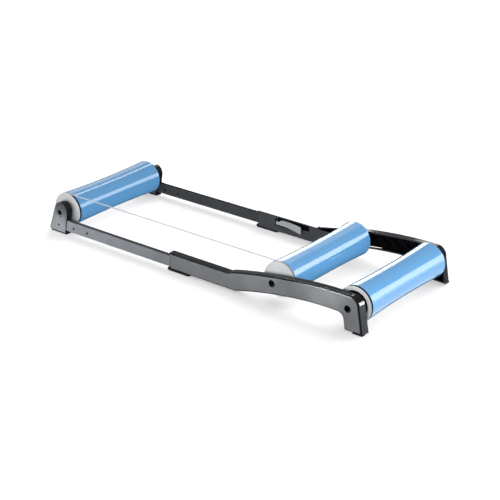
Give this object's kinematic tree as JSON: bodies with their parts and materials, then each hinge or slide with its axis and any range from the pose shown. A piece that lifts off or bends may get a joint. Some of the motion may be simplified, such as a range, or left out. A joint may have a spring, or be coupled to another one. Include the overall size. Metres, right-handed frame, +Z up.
{
  "type": "bike rollers",
  "caption": "Retractable bicycle training rollers: hourglass drums on cross axles between arched moulded rails, with a sliding front carriage, a drive belt and lock levers.",
  "frame": {"origin": "on the floor, under the middle of the object's length and width, with the front carriage fully extended", "axes": "+X from the front drum towards the rear drums, +Y towards the side without the belt, +Z up"},
  "size_m": [1.359, 0.496, 0.1375],
  "materials": {
    "drum": "glossy light blue",
    "cap": "white, semi-matt",
    "rail": "dark grey, satin",
    "tube": "grey powder coat",
    "rubber": "black, matt",
    "steel": "zinc plated",
    "black_steel": "black oxide",
    "lever": "light grey, satin",
    "belt": "pale, slightly glossy"
  },
  "bodies": {
    "rear_frame": {"rear_rail_left": "rail", "rear_foot_pad_left": "rubber", "middle_foot_pad_left": "rubber", "lever_pivot_pin_left": "steel", "lever_spring_left": "steel", "rear_rail_right": "rail", "rear_foot_pad_right": "rubber", "middle_foot_pad_right": "rubber", "lever_pivot_pin_right": "steel", "lever_spring_right": "steel", "middle_axle": "steel", "middle_axle_screw_left": "black_steel", "middle_axle_spacer_left": "steel", "middle_axle_screw_right": "black_steel", "middle_axle_spacer_right": "steel", "rear_axle": "steel", "rear_axle_screw_left": "black_steel", "rear_axle_spacer_left": "steel", "rear_axle_screw_right": "black_steel", "rear_axle_spacer_right": "steel", "drive_belt": "belt"},
    "middle_roller": {"middle_roller_shell": "drum", "middle_roller_cap_left": "cap", "middle_roller_bearing_left": "steel", "middle_roller_cap_right": "rail", "middle_roller_bearing_right": "steel"},
    "rear_roller": {"rear_roller_shell": "drum", "rear_roller_cap_left": "cap", "rear_roller_bearing_left": "steel", "rear_roller_cap_right": "rail", "rear_roller_bearing_right": "steel"},
    "front_carriage": {"front_bracket_left": "rail", "front_foot_pad_left": "rubber", "front_tube_left": "tube", "tube_guide_left": "rubber", "bracket_screw_left": "black_steel", "front_bracket_right": "rail", "front_foot_pad_right": "rubber", "front_tube_right": "tube", "tube_guide_right": "rubber", "bracket_screw_right": "black_steel", "front_axle": "steel", "front_axle_screw_left": "black_steel", "front_axle_spacer_left": "steel", "front_axle_screw_right": "black_steel", "front_axle_spacer_right": "steel"},
    "front_roller": {"front_roller_shell": "drum", "front_roller_cap_left": "cap", "front_roller_bearing_left": "steel", "front_roller_cap_right": "rail", "front_roller_bearing_right": "steel"},
    "lever_left": {"lock_lever_left": "lever", "lock_pin_left": "steel"},
    "lever_right": {"lock_lever_right": "lever", "lock_pin_right": "steel"}
  },
  "joints": [
    {"name": "frame_telescope", "type": "slide", "parent": "rear_frame", "child": "front_carriage", "axis": [1, 0, 0], "range_m": [0, 0.47], "deforming": ["drive_belt"]},
    {"name": "middle_roller_spin", "type": "hinge", "parent": "rear_frame", "child": "middle_roller", "pos_m": [0.3295, 0, 0.0775], "axis": [0, 1, 0], "continuous": true},
    {"name": "rear_roller_spin", "type": "hinge", "parent": "rear_frame", "child": "rear_roller", "pos_m": [0.6195, 0, 0.0775], "axis": [0, 1, 0], "continuous": true},
    {"name": "front_roller_spin", "type": "hinge", "parent": "front_carriage", "child": "front_roller", "pos_m": [-0.6195, 0, 0.0775], "axis": [0, 1, 0], "continuous": true},
    {"name": "lever_left_hinge", "type": "hinge", "parent": "rear_frame", "child": "lever_left", "pos_m": [-0.0195, -0.2242, 0.0415], "axis": [0, 0, 1], "range_deg": [0, 15], "stiffness_Nm_per_rad": 0.6, "springref_deg": -11.46},
    {"name": "lever_right_hinge", "type": "hinge", "parent": "rear_frame", "child": "lever_right", "pos_m": [-0.0195, 0.2242, 0.0415], "axis": [0, 0, -1], "range_deg": [0, 15], "stiffness_Nm_per_rad": 0.6, "springref_deg": -11.46}
  ],
  "couplings": [
    {"joint": "front_roller_spin", "follows": "middle_roller_spin", "ratio": 1}
  ]
}
